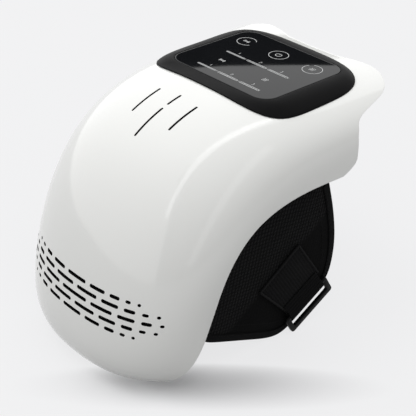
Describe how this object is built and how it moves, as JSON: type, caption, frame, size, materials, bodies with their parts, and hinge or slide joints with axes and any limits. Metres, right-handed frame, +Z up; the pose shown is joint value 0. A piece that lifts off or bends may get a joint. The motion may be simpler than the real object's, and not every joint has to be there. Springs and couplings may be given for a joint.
{
  "type": "heated knee massager",
  "caption": "Helmet-like heated massager for a bent knee, with a touch panel, vent slots, padded lining, vibration motors and fabric side wings with swinging strap buckles.",
  "frame": {"origin": "under the middle of the bounding box, on the surface that the massager stands on", "axes": "+X across the leg to the wearer's side that the picture shows, +Y from the shin end to the thigh end, +Z up"},
  "size_m": [0.1978, 0.266, 0.1989],
  "materials": {
    "shell": "glossy white ABS",
    "liner": "matte dark grey",
    "screw": "zinc plated",
    "screen": "fine plastic mesh",
    "bezel": "fine matte black",
    "lens": "high gloss tinted acrylic",
    "light_shield": "matte black",
    "circuit": "solder mask green",
    "port": "plated shell",
    "tray": "matte grey",
    "cell": "foil pouch",
    "motor": "drawn steel can",
    "weight": "sintered metal",
    "heater": "amber film with printed tracks",
    "pad": "quilted fabric over foam",
    "wing": "textured neoprene-backed cloth",
    "binding": "woven edge tape",
    "webbing": "ribbed webbing",
    "buckle": "moulded acetal"
  },
  "bodies": {
    "housing": {"outer_shell": "shell", "inner_shell": "liner", "shell_screw_1": "screw", "shell_screw_2": "screw", "shell_screw_3": "screw", "shell_screw_4": "screw", "shell_screw_5": "screw", "shell_screw_6": "screw", "vent_screen": "screen", "panel_bezel": "bezel", "touch_lens": "lens", "light_shield": "light_shield", "display_board": "circuit", "main_board": "circuit", "charging_port": "port", "battery_tray": "tray", "battery_cell_right": "cell", "battery_cell_left": "cell", "motor_can_right": "motor", "motor_bracket_right": "tray", "motor_can_left": "motor", "motor_bracket_left": "tray", "heating_film": "heater", "knee_pad": "pad", "wing_root_right": "wing", "wing_root_left": "wing"},
    "wing_right": {"wing_flap_right": "wing", "wing_binding_right": "binding", "strap_tab_right": "webbing"},
    "buckle_right": {"buckle_right": "buckle"},
    "weight_right": {"eccentric_weight_right": "weight"},
    "wing_left": {"wing_flap_left": "wing", "wing_binding_left": "binding", "strap_tab_left": "webbing"},
    "buckle_left": {"buckle_left": "buckle"},
    "weight_left": {"eccentric_weight_left": "weight"}
  },
  "joints": [
    {"name": "wing_right_flex", "type": "hinge", "parent": "housing", "child": "wing_right", "pos_m": [0.08477, -0.01388, 0.09114], "axis": [0.0433, 0.8211, 0.5691], "range_deg": [-12, 12], "stiffness_Nm_per_rad": 2},
    {"name": "wing_left_flex", "type": "hinge", "parent": "housing", "child": "wing_left", "pos_m": [-0.08477, -0.01388, 0.09114], "axis": [-0.0433, 0.8211, 0.5691], "range_deg": [-12, 12], "stiffness_Nm_per_rad": 2},
    {"name": "buckle_right_swing", "type": "hinge", "parent": "wing_right", "child": "buckle_right", "pos_m": [0.08607, 0.03699, 0.02638], "axis": [0.0378, 0.8678, 0.4955], "range_deg": [-110, 5]},
    {"name": "buckle_left_swing", "type": "hinge", "parent": "wing_left", "child": "buckle_left", "pos_m": [-0.08607, 0.03699, 0.02638], "axis": [-0.0378, 0.8678, 0.4955], "range_deg": [-5, 110]},
    {"name": "weight_right_spin", "type": "hinge", "parent": "housing", "child": "weight_right", "pos_m": [0.04354, -0.08222, 0.13567], "axis": [0.989, 0.1459, -0.0256], "continuous": true},
    {"name": "weight_left_spin", "type": "hinge", "parent": "housing", "child": "weight_left", "pos_m": [-0.04353, -0.08224, 0.13567], "axis": [-0.9892, 0.1443, -0.0253], "continuous": true}
  ]
}
